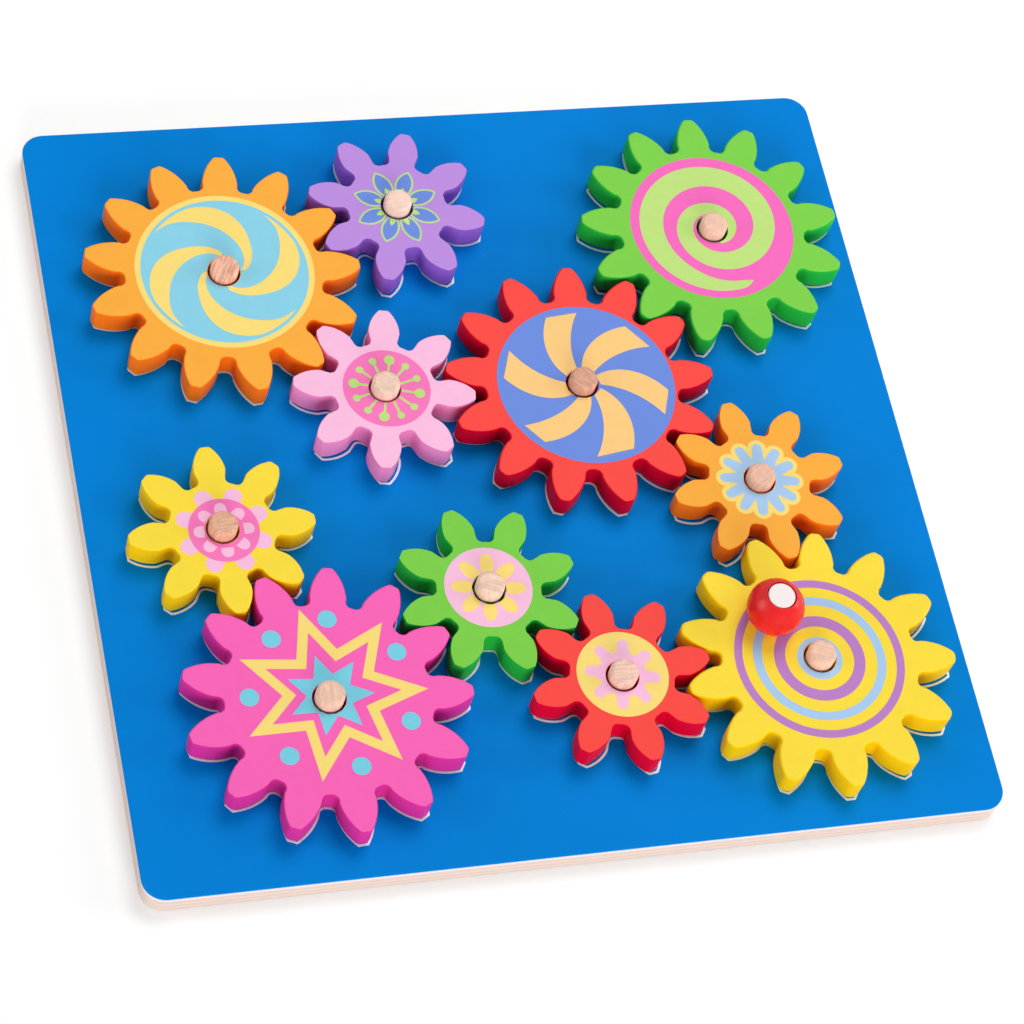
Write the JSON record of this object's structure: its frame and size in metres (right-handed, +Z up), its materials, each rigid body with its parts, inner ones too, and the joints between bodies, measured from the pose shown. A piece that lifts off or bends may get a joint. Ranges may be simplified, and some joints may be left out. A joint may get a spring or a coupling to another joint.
{
  "type": "crank gear toy",
  "caption": "Wooden board with dowel pegs carrying a train of loose toothed gears in bright printed colours, turned together by a ball knob on one gear.",
  "frame": {"origin": "centre of the board's underside", "axes": "+Z up out of the board's printed face, +X along one side of the square board with the crank gear at its +X end, +Y along the other side away from the crank gear"},
  "size_m": [0.3, 0.3, 0.0361],
  "materials": {
    "painted_plywood": "satin blue print on light plywood",
    "beech_dowel": "bare sanded beech",
    "pale_dowel": "bare pale dowel end",
    "knob_paint": "semi-gloss red paint",
    "yellow_paint": "satin paint with printed ornament on top",
    "orange_paint": "satin paint with printed ornament on top",
    "red_paint": "satin paint with printed ornament on top",
    "green_paint": "satin paint with printed ornament on top",
    "pink_paint": "satin paint with printed ornament on top",
    "purple_paint": "satin paint with printed ornament on top",
    "magenta_paint": "satin paint with printed ornament on top"
  },
  "bodies": {
    "board": {"base_board": "painted_plywood", "crank_gear_peg": "beech_dowel", "small_orange_gear_peg": "beech_dowel", "large_red_gear_peg": "beech_dowel", "large_green_gear_peg": "beech_dowel", "small_pink_gear_peg": "beech_dowel", "large_orange_gear_peg": "beech_dowel", "small_purple_gear_peg": "beech_dowel", "small_red_gear_peg": "beech_dowel", "small_green_gear_peg": "beech_dowel", "large_magenta_gear_peg": "beech_dowel", "small_yellow_gear_peg": "beech_dowel"},
    "crank_gear": {"crank_gear": "yellow_paint", "crank_dowel": "pale_dowel", "crank_knob": "knob_paint"},
    "small_orange_gear": {"small_orange_gear": "orange_paint"},
    "large_red_gear": {"large_red_gear": "red_paint"},
    "large_green_gear": {"large_green_gear": "green_paint"},
    "small_pink_gear": {"small_pink_gear": "pink_paint"},
    "large_orange_gear": {"large_orange_gear": "orange_paint"},
    "small_purple_gear": {"small_purple_gear": "purple_paint"},
    "small_red_gear": {"small_red_gear": "red_paint"},
    "small_green_gear": {"small_green_gear": "green_paint"},
    "large_magenta_gear": {"large_magenta_gear": "magenta_paint"},
    "small_yellow_gear": {"small_yellow_gear": "yellow_paint"}
  },
  "joints": [
    {"name": "crank_gear_turn", "type": "hinge", "parent": "board", "child": "crank_gear", "pos_m": [0.0929, -0.0914, 0.0093], "axis": [0, 0, 1], "continuous": true},
    {"name": "small_orange_gear_turn", "type": "hinge", "parent": "board", "child": "small_orange_gear", "pos_m": [0.08817, -0.02016, 0.0093], "axis": [0, 0, 1], "continuous": true},
    {"name": "large_red_gear_turn", "type": "hinge", "parent": "board", "child": "large_red_gear", "pos_m": [0.03221, 0.02419, 0.0093], "axis": [0, 0, 1], "continuous": true},
    {"name": "large_green_gear_turn", "type": "hinge", "parent": "board", "child": "large_green_gear", "pos_m": [0.09559, 0.08582, 0.0093], "axis": [0, 0, 1], "continuous": true},
    {"name": "small_pink_gear_turn", "type": "hinge", "parent": "board", "child": "small_pink_gear", "pos_m": [-0.03908, 0.02818, 0.0093], "axis": [0, 0, 1], "continuous": true},
    {"name": "large_orange_gear_turn", "type": "hinge", "parent": "board", "child": "large_orange_gear", "pos_m": [-0.08786, 0.08031, 0.0093], "axis": [0, 0, 1], "continuous": true},
    {"name": "small_purple_gear_turn", "type": "hinge", "parent": "board", "child": "small_purple_gear", "pos_m": [-0.02048, 0.10391, 0.0093], "axis": [0, 0, 1], "continuous": true},
    {"name": "small_red_gear_turn", "type": "hinge", "parent": "board", "child": "small_red_gear", "pos_m": [0.0215, -0.0914, 0.0093], "axis": [0, 0, 1], "continuous": true},
    {"name": "small_green_gear_turn", "type": "hinge", "parent": "board", "child": "small_green_gear", "pos_m": [-0.01783, -0.05382, 0.0093], "axis": [0, 0, 1], "continuous": true},
    {"name": "large_magenta_gear_turn", "type": "hinge", "parent": "board", "child": "large_magenta_gear", "pos_m": [-0.07991, -0.08908, 0.0093], "axis": [0, 0, 1], "continuous": true},
    {"name": "small_yellow_gear_turn", "type": "hinge", "parent": "board", "child": "small_yellow_gear", "pos_m": [-0.10503, -0.02225, 0.0093], "axis": [0, 0, 1], "continuous": true}
  ],
  "couplings": [
    {"joint": "small_orange_gear_turn", "follows": "crank_gear_turn", "ratio": -1.625},
    {"joint": "large_red_gear_turn", "follows": "crank_gear_turn", "ratio": 1},
    {"joint": "large_green_gear_turn", "follows": "crank_gear_turn", "ratio": -1},
    {"joint": "small_pink_gear_turn", "follows": "crank_gear_turn", "ratio": -1.625},
    {"joint": "large_orange_gear_turn", "follows": "crank_gear_turn", "ratio": 1},
    {"joint": "small_purple_gear_turn", "follows": "crank_gear_turn", "ratio": -1.625},
    {"joint": "small_red_gear_turn", "follows": "crank_gear_turn", "ratio": -1.625},
    {"joint": "small_green_gear_turn", "follows": "crank_gear_turn", "ratio": 1.625},
    {"joint": "large_magenta_gear_turn", "follows": "crank_gear_turn", "ratio": -1},
    {"joint": "small_yellow_gear_turn", "follows": "crank_gear_turn", "ratio": 1.625}
  ]
}
